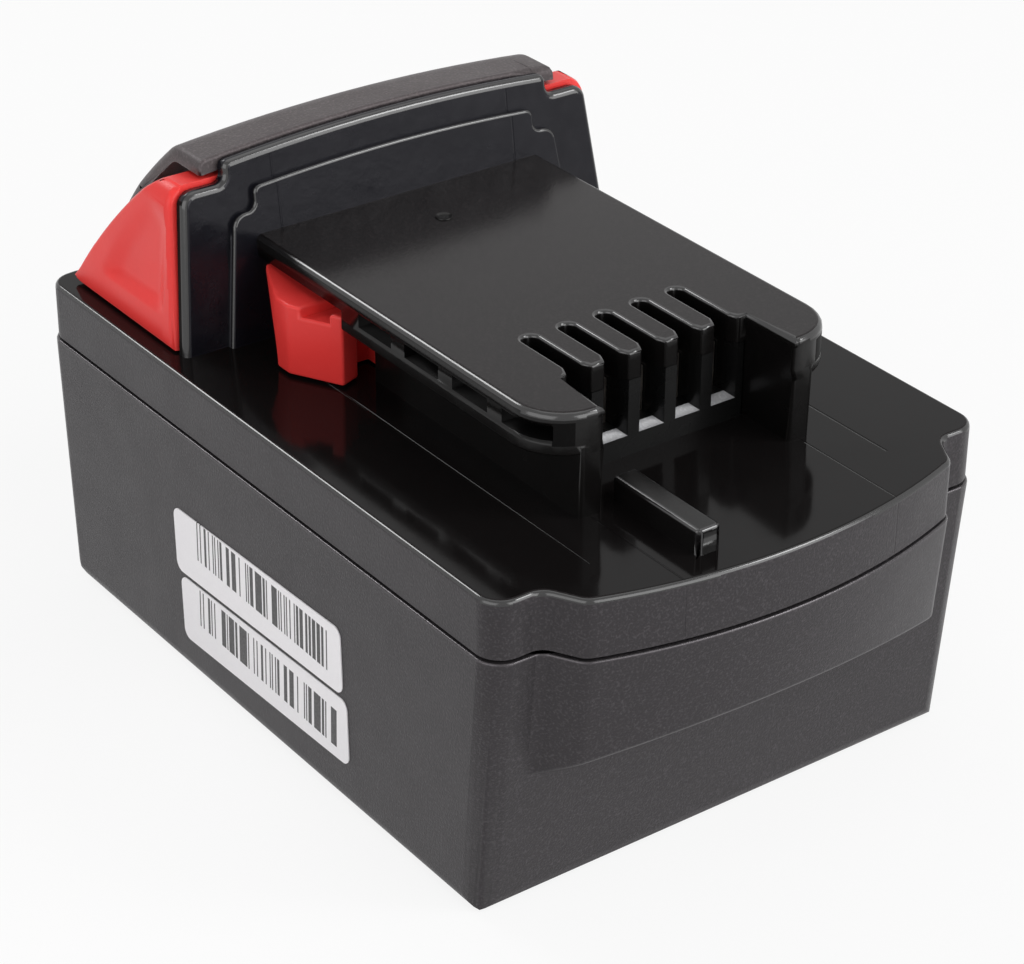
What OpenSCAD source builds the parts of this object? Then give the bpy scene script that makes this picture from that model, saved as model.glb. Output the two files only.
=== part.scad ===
// Slide-on battery pack: two rows of five round cells in a two-part case,
// a contact tower with rails on top, and a sprung release latch on each side.
// The front, where the contacts are, faces -Y. The base stands on Z = 0.

/* [Cells] */
// Diameter of one wrapped cell
cell_d = 18.4; // [17.6:0.1:19.2]
// Length of one cell
cell_l = 65.2; // [64:0.2:70]
// Wall left between neighbouring cells along the pack
cell_web = 1.5; // [1.2:0.1:2.4]
// Wall left between the two rows of cells
row_web = 1.2; // [1:0.1:2.4]
// Play of a cell in its holder, on the radius
cell_fit = 0.15; // [0.1:0.05:0.3]
// Rim of the holder around the outer cells
holder_rim = 0.8; // [0.6:0.1:1.6]
// Length of cell that each holder grips
holder_l = 12; // [8:1:20]
// How far the cell ends stand out of the holders
cell_proud = 0.3; // [0.2:0.1:0.8]
// Height of the raised cap at a cell's positive end
cap_h = 0.8; // [0.5:0.1:1.5]
// Diameter of the cap
cap_d = 8.6; // [6:0.1:10]
// Bevel of the can's edges
can_bevel = 0.6; // [0.3:0.1:1]

/* [Case] */
// Wall of both case halves
wall = 2.5; // [2:0.1:2.8]
// Thickness of the deck on top
deck_t = 2.5; // [2:0.1:4]
// Room between the cell ends and the side walls
end_room = 5.4; // [5.2:0.1:9]
// Room in front of the cells
front_room = 5.2; // [4.8:0.1:9]
// Room behind the cells
rear_room = 3.8; // [3.6:0.1:8]
// Height of the upper case wall below the deck
skirt_h = 8.5; // [7:0.5:12]
// Radius of the upright corners
corner_r = 4; // [3.5:0.5:8]
// Open seam between the case halves
seam = 0.6; // [0.3:0.1:1]
// How far the upper case stands in from the lower one
step_in = 0.3; // [0.1:0.1:0.6]
// Thickness of the tongue inside the seam
lip_t = 1; // [0.8:0.1:1.2]
// Height of the tongue inside the seam
lip_h = 1.8; // [1.2:0.1:3]
// Play around the tongue
lip_gap = 0.2; // [0.1:0.05:0.4]
// How far the front wall leans in at the base
front_draft = 3.3; // [0.5:0.1:4]
// How far the rear wall leans in at the base
rear_draft = 2.2; // [0.5:0.1:3]
// Radius of the lower rear edge
heel_r = 9; // [4:0.5:9]
// Radius of the other lower edges
foot_r = 2.4; // [0.8:0.1:2.4]

/* [Front bulge] */
// Distance that the bulge stands out from the front wall
bulge_out = 10.3; // [8.5:0.1:12]
// Distance between the centres of its round corners
bulge_w = 56; // [50:0.5:58]
// Radius of its long front curve
bulge_r = 90; // [70:5:160]
// Radius of its round corners
bulge_corner_r = 3.2; // [3:0.1:4]
// Radius of the hollow where it meets the front wall
bulge_root_r = 2.2; // [1:0.1:3]
// Angle of its flanks to the front wall
bulge_slant = 60; // [50:1:70]
// Height at which its underside meets the front wall
bulge_root_z = 20.5; // [12:0.5:26]
// Rise of its underside towards the front, in degrees
bulge_rise = 30; // [20:1:40]

/* [Contact tower] */
// Height of the tower above the deck
tower_h = 15.2; // [14:0.1:18]
// Width over the rails
tower_w = 48.6; // [46:0.2:56]
// Width of the neck under the rails
neck_w = 38; // [36:0.2:42]
// Wall of the neck
neck_t = 2; // [1.6:0.1:2.4]
// Distance from the front wall to the tower
tower_set = 10.85; // [9.5:0.05:14]
// Distance that the neck stands back from the rails' front
neck_set = 0.1; // [0.1:0.1:2]
// Radius of the front corners
tower_corner_r = 7.5; // [5:0.5:8]
// Height of a rail
rim_h = 6; // [5.5:0.1:7]
// Thickness of the top plate
plate_t = 4; // [3.6:0.1:4.4]
// Gap between the two front horns
horn_gap = 31; // [30:0.1:32]
// Length of the horns in front of the contact fingers
horn_l = 9.8; // [8:0.1:12]
// Distance between contact slots
slot_pitch = 6.05; // [5.6:0.05:6.2]
// Width of a contact slot
slot_w = 2.4; // [2.2:0.1:3]
// Length of a contact slot
slot_l = 11.6; // [11:0.1:13]
// Width of the bevels at the tips of the fingers
tip_bevel = 0.8; // [0.4:0.1:1]
// Length of those bevels
tip_l = 1.5; // [0.8:0.1:2]
// Length of a moulding pocket in a rail
pocket_l = 7.7; // [5:0.1:8.5]
// Distance between moulding pockets
pocket_pitch = 10.8; // [9.5:0.1:11.2]
// Height of a moulding pocket
pocket_h = 2; // [1.5:0.1:2.5]
// Depth of a moulding pocket
pocket_d = 4; // [2:0.1:4.5]
// Height of the pockets above the plate's underside
pocket_rise = 0.2; // [0.1:0.1:1]
// Height of the guide rib on the deck
rib_h = 3.6; // [3:0.1:6]
// Thickness of the guide rib
rib_t = 3.7; // [2:0.1:4.5]
// Distance of the guide rib from the middle
rib_x = 10.85; // [8:0.05:13]
// Distance of the guide rib's end from the front of the bulge
rib_end = 5.6; // [4:0.1:10]
// Gap between the guide rib and the terminal block
rib_gap = 8; // [1:0.5:10]

/* [Hump] */
// Depth of the hump at the deck, from its front face to the buttons' rear
hump_l = 31.45; // [30:0.05:36]
// Height of the front face's crown above the deck
hump_h = 27.5; // [26.5:0.1:30]
// Width of the front face at the deck
hump_w = 74; // [71:0.2:76]
// Height of its shoulders
shoulder_h = 23.2; // [22:0.1:24.5]
// Width over the shoulders
shoulder_w = 69; // [68:0.2:72]
// Width of the raised middle
crest_w = 55; // [54:0.2:60]
// Thickness of the front face
face_t = 1.8; // [1.6:0.1:3]
// Backward lean of the front face, in degrees
lean = 7.7; // [5:0.1:9]
// Radius of the crown from side to side
crown_r = 300; // [240:10:500]
// Distance that the inner panel stands out from the front face
panel_out = 1.1; // [0.5:0.1:1.6]
// Distance from the raised middle's sides to the inner panel's
panel_in = 3.7; // [3:0.1:6]
// Distance from the front face's sides to the inner panel's
panel_side = 6.9; // [5:0.1:9]
// Distance from the front face's top to the inner panel's
panel_drop = 4.5; // [2:0.1:5]
// Radius of the shoulders
shoulder_r = 2.2; // [1:0.1:3]
// Radius of the hollow beside the raised middle
step_r = 1.3; // [0.6:0.1:1.6]
// Radius of the raised middle's corners
crest_corner_r = 1.2; // [0.6:0.1:1.8]
// Width of the rear cover
cover_w = 60.6; // [60:0.2:66]
// Wall of the rear cover
cover_t = 2; // [1.6:0.1:2.4]
// Height of the rear cover's inside above the buttons, at its ends, beyond their running play
cover_rise = 0.2; // [0.1:0.1:3]
// Radius of the rear cover's crest
crest_r = 5; // [4.5:0.5:9]
// Radius of the buttons' long back curve
back_r = 108; // [90:2:160]
// Distance from the rear wall to the foot of the back curve
foot_set = 3; // [2.6:0.1:5]
// Depth from the hump's front to the upper end of the back curve
crest_set = 10.3; // [9:0.1:12]
// Height of the upper end of the back curve
crest_rise = 22.5; // [21:0.1:24]
// Gap between the cover and the front face
cover_gap = 0.2; // [0.1:0.1:0.5]
// Gap between the cover and the buttons' back curve, beyond their running play
cover_air = 1.5; // [0.2:0.1:2]

/* [Latches] */
// Travel of a latch
latch_travel = 4; // [3:0.1:4.2]
// Running play of the latches
latch_gap = 0.35; // [0.3:0.05:0.5]
// Distance that a hook stands out from its rail
hook_out = 3.7; // [3:0.1:4]
// Length of a hook's outer part
hook_l = 10.5; // [9.5:0.1:12]
// Distance from the hook's front to the hump
hook_set = 20; // [19.5:0.1:21]
// Height of a hook
hook_h = 9; // [7:0.1:9.2]
// Length of the ramp at a hook's front
hook_ramp = 7.5; // [6:0.1:8]
// Width of the facet at a hook's front
nose_w = 3.2; // [2:0.1:4]
// Distance that this facet slopes back towards the neck
nose_set = 1.2; // [0.5:0.1:2]
// Distance from a hook's front to the shank that joins it to its arm
shank_set = 5; // [3:0.1:6]
// Length of a hook in front of its raised ear
ear_set = 5.8; // [4.5:0.1:6.5]
// Length of the small tab at a hook's front
tab_l = 1.9; // [1.5:0.1:3]
// Thickness of the tab inside the rail's edge
tab_in = 2.2; // [1.5:0.1:3]
// Height of a hook's upright rear edge, below the slope of its wing
catch_h = 2.7; // [2:0.1:4]
// Distance that a wing stands out from its rail at the hump
wing_out = 0.3; // [0.1:0.1:0.8]
// Gap between a wing and the hump
wing_gap = 1.6; // [1.5:0.1:2.5]
// Height of the hook's window above the plate's underside
window_rise = 1; // [0.5:0.1:1.4]
// Width over both buttons
button_w = 74.6; // [74:0.2:78]
// Height of a button above the deck
button_h = 23.4; // [22.5:0.1:24]
// Wall of a button
button_t = 2; // [1.6:0.1:2.6]
// Inward lean of a button's outer face, in degrees
button_lean = 4.4; // [2:0.1:5]
// Radius of a button's top outer edge
button_edge = 3; // [2:0.1:4]
// Radius of a button's top rear corner
button_r = 2.2; // [2.1:0.1:3]
// Length of a button that stays inside the cover when pressed
stem_lap = 3; // [1:0.1:5]
// Depth of the thumb scoop
scoop_d = 1.2; // [0.4:0.1:1.4]
// Rim left around the thumb scoop
scoop_rim = 3.4; // [3:0.1:5]
// Height of the scoop's lower edge above the button's base
scoop_low = 4.4; // [4:0.1:6]
// Thickness of the arm between hook and button
arm_t = 5.2; // [4:0.1:5.6]
// Height of the arm
arm_h = 8; // [6:0.1:8.4]
// Length of the bridge between arm and button
bridge_l = 11; // [8:0.1:12]
// Gap between the bridge and the hump's front face
bridge_gap = 0.5; // [0.3:0.1:1.5]
// Outer diameter of a latch spring
spring_d = 6; // [5:0.1:7]
// Wire of a latch spring
spring_wire = 0.8; // [0.6:0.1:0.9]
// Turns of a latch spring
spring_turns = 5; // [4:1:6]
// Play at the ends of a latch spring
spring_play = 0.1; // [0.05:0.05:0.3]
// Length of the pin inside a latch spring
pin_l = 3; // [2:0.1:4]
// Play between the pin and its spring
pin_play = 0.4; // [0.2:0.1:0.6]
// Thickness of the post between the springs
post_t = 3; // [2:0.1:4]
// Length of the post between the springs
post_l = 9; // [7:0.1:10]

/* [Electrics] */
// Thickness of the circuit board
board_t = 1.6; // [1.2:0.1:2]
// Height of the stands under the board
board_stand = 0.6; // [0.4:0.1:1.2]
// Diameter of the stands
stand_d = 4.4; // [4:0.1:5]
// Room between the board and the deck
board_room = 1.4; // [1.3:0.1:2.4]
// Distance of the board's sides from the cell ends
board_side = 0.9; // [0.6:0.1:3]
// Distance that the board reaches in front of the terminal block
board_front = 2; // [1:0.1:3]
// Distance from the board's rear edge to the hump
board_rear = 3; // [2:0.1:6]
// Thickness of the cell strips
strip_t = 0.3; // [0.2:0.05:0.4]
// Width of a cell strip around a cell's end
strip_w = 10; // [8:0.5:11]
// Width of a strip's tab
strip_tab = 3; // [2:0.1:4]
// Length of a strip's tab on the board
strip_fold = 4; // [2:0.1:5]
// Distance of the end tabs from the board's edges
tab_set = 0.4; // [0.2:0.1:1]
// Width of the arm that reaches past a strip
arm_w = 3.4; // [2:0.1:3.6]
// Gap between that arm and the strip below it
arm_gap = 1; // [0.5:0.1:1.2]
// Thickness of the insulating sheets
sheet_t = 0.3; // [0.2:0.05:0.4]
// Margin of the sheets around the strips
sheet_margin = 1.5; // [0.5:0.1:2]
// Gap between a sheet and its strips
sheet_gap = 0.1; // [0.05:0.05:0.2]
// Depth of the terminal block
block_l = 17; // [15:0.5:18]
// Play of the terminal block in the tower
block_gap = 0.2; // [0.1:0.05:0.4]
// Depth of the block's narrow front between the horns
block_front = 0.3; // [0.2:0.1:1]
// Height of the block's sill above the deck
sill_h = 3.7; // [3:0.1:4.2]
// Depth of the slope in front of each channel
slope_l = 1.6; // [1:0.1:2.4]
// Height of that slope
slope_h = 0.7; // [0.4:0.1:1.2]
// Width of a channel beyond its slot
channel_play = 0.2; // [0.1:0.05:0.4]
// Thickness of a contact leaf
leaf_t = 0.4; // [0.3:0.05:0.5]
// Distance from the finger tips to the contacts
clip_set = 3.6; // [2.5:0.1:4.5]
// Play of a contact in its channel
clip_play = 0.1; // [0.05:0.05:0.2]
// Room above the contacts
clip_room = 1; // [0.5:0.1:2]
// Width of a contact's tail
tail_w = 1; // [0.6:0.1:1.2]
// Length of a contact's tail along the pack
tail_l = 2; // [1:0.1:3]
// Play of a tail in its hole
tail_play = 0.3; // [0.2:0.05:0.4]
// Size of a power transistor
transistor_size = [8, 8, 4.4];
// Gap between the power transistors
transistor_gap = 5; // [2:0.1:8]
// Size of the control chip
chip_size = [7, 7, 1.1];
// Size of the current shunt
shunt_size = [7, 3.4, 0.8];
// Gap between the parts on the board
parts_gap = 2; // [1:0.1:3]
// Diameter of the thermistor's bead
bead_d = 2.4; // [1.6:0.1:3]
// Gap between the bead and the cells
bead_gap = 0.15; // [0.1:0.05:0.4]
// Diameter of a thermistor leg
leg_d = 0.5; // [0.4:0.05:0.8]
// Distance between the thermistor's legs
leg_pitch = 1.2; // [1:0.1:1.6]

/* [Fasteners and labels] */
// Diameter of a case screw's shank
screw_d = 2.8; // [2.4:0.1:3]
// Diameter of a screw head
head_d = 5; // [4.6:0.1:5.2]
// Height of a screw head
head_h = 1.6; // [1.4:0.1:1.8]
// Depth of a screw head below the base
head_sink = 0.3; // [0.1:0.1:0.4]
// Size of a screw's socket, from its middle to a corner
socket_r = 1.2; // [0.8:0.1:1.3]
// Depth of a screw's socket
socket_l = 1; // [0.6:0.1:1.2]
// Diameter of a screw boss
boss_d = 5.2; // [4.8:0.1:5.4]
// Depth to which the case bosses sink into the side walls
boss_sink = 0.8; // [0.5:0.1:1.2]
// Distance of the front bosses from the front wall
boss_front = 9.8; // [8:0.1:12]
// Distance of the rear bosses from the rear wall
boss_rear = 13; // [12:0.1:16]
// Distance of the cover screws from the middle
cover_screw_x = 10; // [8:0.1:13]
// Distance of the cover screws from the rear wall
cover_screw_set = 9.2; // [8:0.1:11]
// Depth of a cover screw in the cover
cover_screw_l = 6.6; // [4:0.1:8]
// Diameter of a board screw's shank
board_screw_d = 2; // [1.6:0.1:2.2]
// Depth of a board screw in its holder
board_screw_l = 5; // [3:0.1:6]
// Diameter of a board screw's head
board_head_d = 4; // [3.4:0.1:4.4]
// Height of a board screw's head
board_head_h = 1; // [0.8:0.1:1.2]
// Play of a screw in the hole that it cuts its thread in
thread_play = 0.2; // [0.1:0.05:0.3]
// Play of a screw or its head in the hole that it passes through
clear_play = 0.4; // [0.3:0.05:0.6]
// Material left at the end of a blind screw hole
blind_t = 1.2; // [0.8:0.1:1.6]
// Length of a label
label_l = 42.8; // [30:0.2:50]
// Height of a label
label_h = 10.2; // [8:0.2:10.4]
// Thickness of a label
label_t = 0.15; // [0.1:0.05:0.3]
// Radius of a label's corners
label_r = 1.5; // [0.5:0.1:3]
// Gap between the labels
label_gap = 0.6; // [0.4:0.1:2]
// Height of the middle of the gap between the labels
label_z = 17; // [16:0.1:22]
// Place of the upper label's middle along the pack
upper_label_y = 4.4; // [-10:0.1:15]
// Place of the lower label's middle along the pack
lower_label_y = 3.2; // [-10:0.1:15]
// Tilt of the labels, in degrees
label_tilt = -1.7; // [-3:0.1:3]

/* [Hidden] */
columns = 5;
rows = 2;
slots = 5;
pockets = 4;
// Small overlap, so that joined shapes cross instead of just touching
bite = 0.05;
// Reach of a cut past the face that it opens
over = 1;
// Smallest radius inside the lower edges
inner_r = 0.3;

// Cell stack
cell_r = cell_d / 2;
pitch_y = cell_d + cell_web;
pitch_z = cell_d + row_web;
rim_r = cell_r + cell_fit + holder_rim;
cells_l = (columns - 1) * pitch_y + cell_d;
row_z = [for (r = [0:rows - 1]) wall + rim_r + r * pitch_z];
holder_top = row_z[rows - 1] + rim_r;
holder_x = cell_l / 2 - cell_proud;
board_z = holder_top + board_stand;
board_top = board_z + board_t;

// Case
case_w = cell_l + 2 * (end_room + wall);
case_l = cells_l + front_room + rear_room + 2 * wall;
total_l = case_l + bulge_out;
nose_y = -total_l / 2;
front_y = nose_y + bulge_out;
rear_y = total_l / 2;
deck_z = board_top + board_room + deck_t;
under_z = deck_z - deck_t;
lower_h = deck_z - skirt_h;
front_lean = atan(front_draft / lower_h);
rear_lean = atan(rear_draft / lower_h);
column_y = [for (c = [0:columns - 1]) front_y + wall + front_room + cell_r + c * pitch_y];

// Plan of the bulge: the flank is a straight run between a hollow and a corner
nose_a = asin(bulge_w / 2 / (bulge_r - bulge_corner_r));
corner_y = nose_y + bulge_r - (bulge_r - bulge_corner_r) * cos(nose_a);
both_r = bulge_corner_r + bulge_root_r;
root_y = front_y - bulge_root_r + bite;
flank = (root_y + both_r * cos(bulge_slant) - corner_y) / sin(bulge_slant);
root_x = bulge_w / 2 + both_r * sin(bulge_slant) + flank * cos(bulge_slant);
// The front corners are rounded no further than the wall left beside the bulge
front_corner_r = min(corner_r, case_w / 2 - root_x);

// Tower
top_z = deck_z + tower_h;
rim_z = top_z - rim_h;
plate_z = top_z - plate_t;
tower_x = tower_w / 2;
neck_x = neck_w / 2;
neck_in = neck_x - neck_t;
horn_x = horn_gap / 2;
tower_y = front_y + tower_set;
neck_y = tower_y + neck_set;
tip_y = tower_y + horn_l;
hump_y = rear_y - foot_set - hump_l;
slot_x = [for (s = [0:slots - 1]) (s - (slots - 1) / 2) * slot_pitch];
pocket_z = plate_z + pocket_rise;

// Hump: the back curve runs from the deck's rear to the buttons' top
button_z = deck_z + latch_gap;
button_top = deck_z + button_h;
button_x = button_w / 2;
back_foot = [rear_y - foot_set, deck_z];
back_top = [hump_y + crest_set, deck_z + crest_rise];
back_mid = (back_foot + back_top) / 2;
back_half = norm(back_foot - back_top) / 2;
back_dir = (back_top - back_foot) / (2 * back_half);
back_c = back_mid - sqrt(back_r * back_r - back_half * back_half) * [back_dir.y, -back_dir.x];
crown_z = deck_z + hump_h - crown_r;
end_drop = crown_r - sqrt(crown_r * crown_r - cover_w * cover_w / 4);
cover_inner = latch_gap + cover_air + end_drop;
cover_outer = cover_inner + cover_t;
face_back = face_t + latch_gap;
cover_top = button_top + latch_gap + cover_rise + end_drop + cover_t;

// Latches
hook_y = hump_y - hook_set;
hook_x = tower_x + hook_out;
ledge_top = plate_z - latch_gap;
wing_top = ledge_top + window_rise;
wing_x = tower_x + wing_out;
wing_in = neck_in - over + latch_travel + latch_gap;
wing_y = hump_y - wing_gap;
arm_x1 = neck_in - latch_gap;
arm_x0 = arm_x1 - arm_t;
latch_z = deck_z + latch_gap;
bridge_y = hump_y + face_t + hump_h * tan(lean) + bridge_gap;
stem_x = cover_w / 2 - latch_travel - stem_lap;
spring_y = hook_y + hook_l / 2;
spring_z = latch_z + arm_h / 2;
spring_x0 = post_t / 2 + spring_play;
spring_x1 = arm_x0 - spring_play;

// Fasteners
boss_r = boss_d / 2;
boss_x = case_w / 2 - wall + boss_sink - boss_r;
boss_y = [front_y + boss_front, rear_y - boss_rear];
head_seat = head_h + head_sink;
cover_screw_y = rear_y - cover_screw_set;
board_screw_x = holder_x - holder_l / 2;
board_screw_y = [(column_y[0] + column_y[1]) / 2, (column_y[2] + column_y[3]) / 2];

// Board and block
board_x = cell_l / 2 - board_side;
board_y0 = tip_y - board_front;
board_y1 = hump_y - board_rear;
block_x = neck_in - block_gap;
block_top = plate_z - block_gap / 2;
block_y1 = tip_y + block_l;
ledge_z = deck_z + sill_h;
channel_w = slot_w + channel_play;
clip_y0 = tip_y + clip_set;
clip_y1 = tip_y + slot_l - clip_play;
tail_y = (clip_y0 + clip_y1 - tail_l) / 2;
parts_y = block_y1 + parts_gap;
strip_x = cell_l / 2;
strip_z0 = row_z[0] - strip_w / 2;
strip_z1 = row_z[rows - 1] + strip_w / 2;

case_grey = [0.20, 0.19, 0.20];
deck_black = [0.10, 0.10, 0.10];
cover_brown = [0.15, 0.13, 0.12];
latch_red = [0.85, 0.12, 0.11];

// Points along an arc about c, from angle a to angle b
function arc(c, r, a, b, n = 8) =
    [for (k = [0:n]) c + r * [cos(a + (b - a) * k / n), sin(a + (b - a) * k / n)]];

function flip(points) = [for (k = [len(points) - 1:-1:0]) [-points[k].x, points[k].y]];

// Extrusions of a flat shape along each axis
module along_x(x0, x1) {
    translate([x0, 0, 0]) rotate([90, 0, 90]) linear_extrude(height = x1 - x0) children();
}

module along_y(y0, y1) {
    translate([0, y1, 0]) rotate([90, 0, 0]) linear_extrude(height = y1 - y0) children();
}

module along_z(z0, z1) {
    translate([0, 0, z0]) linear_extrude(height = z1 - z0) children();
}

module box(low, high) {
    translate(low) cube(high - low);
}

module both_sides() {
    children();
    mirror([1, 0, 0]) children();
}

// Right half of the bulge's plan, from its middle to the front wall, drawn in by i
function half_bulge(i) = concat(
    arc([0, nose_y + bulge_r], bulge_r - i, 270, 270 + nose_a, 14),
    arc([bulge_w / 2, corner_y], bulge_corner_r - i, 270 + nose_a, 270 + bulge_slant, 6),
    arc([root_x, root_y], bulge_root_r + i, 90 + bulge_slant, 90, 6));

// Right half of the whole plan
function half_plan(i) = concat(
    half_bulge(i),
    arc([case_w / 2 - front_corner_r, front_y + front_corner_r], front_corner_r - i, 270, 360),
    arc([case_w / 2 - corner_r, rear_y - corner_r], corner_r - i, 0, 90));

module plan(i) {
    polygon(concat(half_plan(i), flip(half_plan(i))));
}

function front_line(z) = front_y + front_draft * (1 - z / lower_h);
function rear_line(z) = rear_y - rear_draft * (1 - z / lower_h);
function bulge_under(y) = bulge_root_z + (front_line(bulge_root_z) - y) * tan(bulge_rise);

// Side view of the lower case without its bulge, drawn in by i, open at top
module side_view(i, top) {
    foot = max(foot_r - i, inner_r);
    heel = max(heel_r - i, inner_r);
    front_arc = [front_line(i + foot) + (i + foot) / cos(front_lean), i + foot];
    rear_arc = [rear_line(i + heel) - (i + heel) / cos(rear_lean), i + heel];
    polygon(concat(
        [[front_line(top) + i / cos(front_lean), top]],
        arc(front_arc, foot, 180 + front_lean, 270, 6),
        arc(rear_arc, heel, 270, 360 - rear_lean, 12),
        [[rear_line(top) - i / cos(rear_lean), top]]));
}

module front_view(i, top) {
    foot = max(foot_r - i, inner_r);
    half = case_w / 2 - i;
    polygon(concat(
        [[-half, top]],
        arc([foot - half, i + foot], foot, 180, 270, 6),
        arc([half - foot, i + foot], foot, 270, 360, 6),
        [[half, top]]));
}

// Stands a plan shape on the leaning wall that meets the parting line at y
module on_wall(y, tilt, turn) {
    translate([0, y, lower_h]) rotate([0, 0, turn]) rotate([tilt, 0, 0])
        along_z(-2 * lower_h, lower_h) children();
}

// What a round upright corner leaves outside it, drawn in by i
module corner_waste(r, i) {
    half = case_w / 2;
    centre = [half - r + bite, r - bite];
    polygon(concat(
        [[half + over, -over], [half + over, centre.y]],
        arc(centre, r - i, 360, 270),
        [[centre.x, -over]]));
}

module bulge_body(i, top) {
    out_y = nose_y - over;
    in_y = front_y + 2 * wall + front_draft;
    lift = i / cos(bulge_rise);
    half = concat(half_bulge(i), [[root_x, in_y]]);
    intersection() {
        on_wall(front_y, front_lean, 0) translate([0, -front_y]) polygon(concat(half, flip(half)));
        along_x(-case_w, case_w) polygon([
            [out_y, top], [out_y, bulge_under(out_y) + lift],
            [in_y, bulge_under(in_y) + lift], [in_y, top]]);
    }
}

module case_body(i, top) {
    difference() {
        intersection() {
            along_x(-case_w, case_w) side_view(i, top);
            along_y(-total_l, total_l) front_view(i, top);
        }
        both_sides() on_wall(front_y, front_lean, 0) corner_waste(front_corner_r, i);
        both_sides() on_wall(rear_y, rear_lean, 180) corner_waste(corner_r, i);
    }
    bulge_body(i, top);
}

module at_bosses() {
    both_sides() for (y = boss_y) translate([boss_x, y, 0]) children();
}

module bore(d, z0, z1) {
    translate([0, 0, z0]) cylinder(d = d, h = z1 - z0, $fn = 48);
}

module lower_case() {
    tongue_z = lower_h + lip_h;
    color(case_grey) difference() {
        union() {
            difference() {
                case_body(0, lower_h - seam / 2);
                case_body(wall, lower_h + over);
            }
            along_z(lower_h - over, tongue_z) difference() {
                plan(wall - lip_t);
                plan(wall - lip_gap);
            }
            at_bosses() bore(boss_d, wall / 2, tongue_z);
        }
        at_bosses() {
            bore(screw_d + clear_play, -over, tongue_z + over);
            bore(head_d + clear_play, -over, head_seat);
        }
    }
}

// Outline of the tower's top, drawn in by i
module tower_plan(i) {
    half = tower_x - i;
    back = hump_y + face_t;
    polygon(concat(
        [[half, back], [-half, back]],
        arc([tower_corner_r - tower_x, tower_y + tower_corner_r], tower_corner_r - i, 180, 270),
        arc([tower_x - tower_corner_r, tower_y + tower_corner_r], tower_corner_r - i, 270, 360)));
}

module slot_shape() {
    translate([-slot_w / 2, tip_y - over]) square([slot_w, slot_l + over - slot_w / 2]);
    translate([0, tip_y + slot_l - slot_w / 2]) circle(d = slot_w, $fn = 32);
    slot_mouth(slot_w / 2);
}

// Flare between the bevels of two neighbouring tips
module slot_mouth(half) {
    polygon([
        [-half - tip_bevel, tip_y - bite], [half + tip_bevel, tip_y - bite],
        [half, tip_y + tip_l], [-half, tip_y + tip_l]]);
}

// Moulding pockets along one rail: the first one runs round the front corner
module rail_pockets() {
    along_z(pocket_z, pocket_z + pocket_h) difference() {
        for (k = [0:pockets - 1])
            translate([tower_x - pocket_d - over, tip_y - pocket_l + k * pocket_pitch])
                square([pocket_d + 2 * over, pocket_l]);
        tower_plan(pocket_d);
    }
}

module hook_window() {
    box([neck_in - over, hook_y - latch_gap, deck_z],
        [hook_x, hump_y + face_t, plate_z + window_rise]);
}

module tower() {
    difference() {
        union() {
            along_z(rim_z, top_z) tower_plan(0);
            box([-neck_x, neck_y, under_z], [neck_x, hump_y + face_t, rim_z + over]);
        }
        box([-horn_x, tower_y - over, under_z - over], [horn_x, tip_y, top_z + over]);
        along_z(plate_z - over, top_z + over) for (x = slot_x) translate([x, 0]) slot_shape();
        both_sides() rail_pockets();
        both_sides() hook_window();
    }
}

function crown_drop(z, x) = z - crown_r + sqrt(crown_r * crown_r - x * x);

// Right half of a stepped hump outline: wide to the shoulder, narrower to the crest
function half_hump(base, shoulder, shoulder_z, crest, crest_z) =
    let(edge = crest - crest_corner_r, steps = 6)
    concat(
        [[base, -over]],
        arc([shoulder - shoulder_r, shoulder_z - shoulder_r], shoulder_r, 0, 90, steps),
        arc([crest + step_r, shoulder_z + step_r], step_r, 270, 180, steps),
        arc([edge, crown_drop(crest_z, edge) - crest_corner_r], crest_corner_r, 0, 90, steps),
        [for (k = [steps - 1:-1:0]) [edge * k / steps, crown_drop(crest_z, edge * k / steps)]]);

// Stands a flat outline on the deck along the leaning front face, from depth d0 to d1
module on_face(d0, d1) {
    translate([0, hump_y, deck_z]) rotate([-lean, 0, 0]) along_y(d0, d1) children();
}

module hump_face() {
    face = half_hump(hump_w / 2, shoulder_w / 2, shoulder_h, crest_w / 2, hump_h);
    panel = half_hump(hump_w / 2 - panel_side, shoulder_w / 2 - panel_side,
                      shoulder_h - panel_drop, crest_w / 2 - panel_in, hump_h - panel_drop);
    on_face(0, face_t) polygon(concat(face, flip(face)));
    on_face(-panel_out, face_t) polygon(concat(panel, flip(panel)));
}

module upper_shell() {
    difference() {
        along_z(lower_h + seam / 2, deck_z) plan(step_in);
        along_z(lower_h - over, under_z) plan(wall + 2 * bite);
        along_z(lower_h - over, lower_h + lip_h + lip_gap) plan(wall - lip_t - lip_gap);
    }
}

module upper_case() {
    boss_z = lower_h + lip_h + lip_gap;
    screw_end = deck_z - blind_t;
    color(deck_black) {
        difference() {
            union() {
                upper_shell();
                tower();
                hump_face();
                at_bosses() bore(boss_d, boss_z, under_z + bite);
            }
            box([-neck_in, tip_y, under_z - over], [neck_in, bridge_y, plate_z]);
            at_bosses() bore(screw_d + thread_play, lower_h, screw_end);
            at_cover_screws() bore(screw_d + clear_play, under_z - over, deck_z + over);
        }
        box([-post_t / 2, spring_y - post_l / 2, latch_z],
            [post_t / 2, spring_y + post_l / 2, plate_z + bite]);
        box([-rib_x - rib_t / 2, nose_y + rib_end, deck_z - bite],
            [-rib_x + rib_t / 2, tip_y - rib_gap, deck_z + rib_h]);
    }
}

module at_cover_screws() {
    both_sides() translate([cover_screw_x, cover_screw_y, 0]) children();
}

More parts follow.
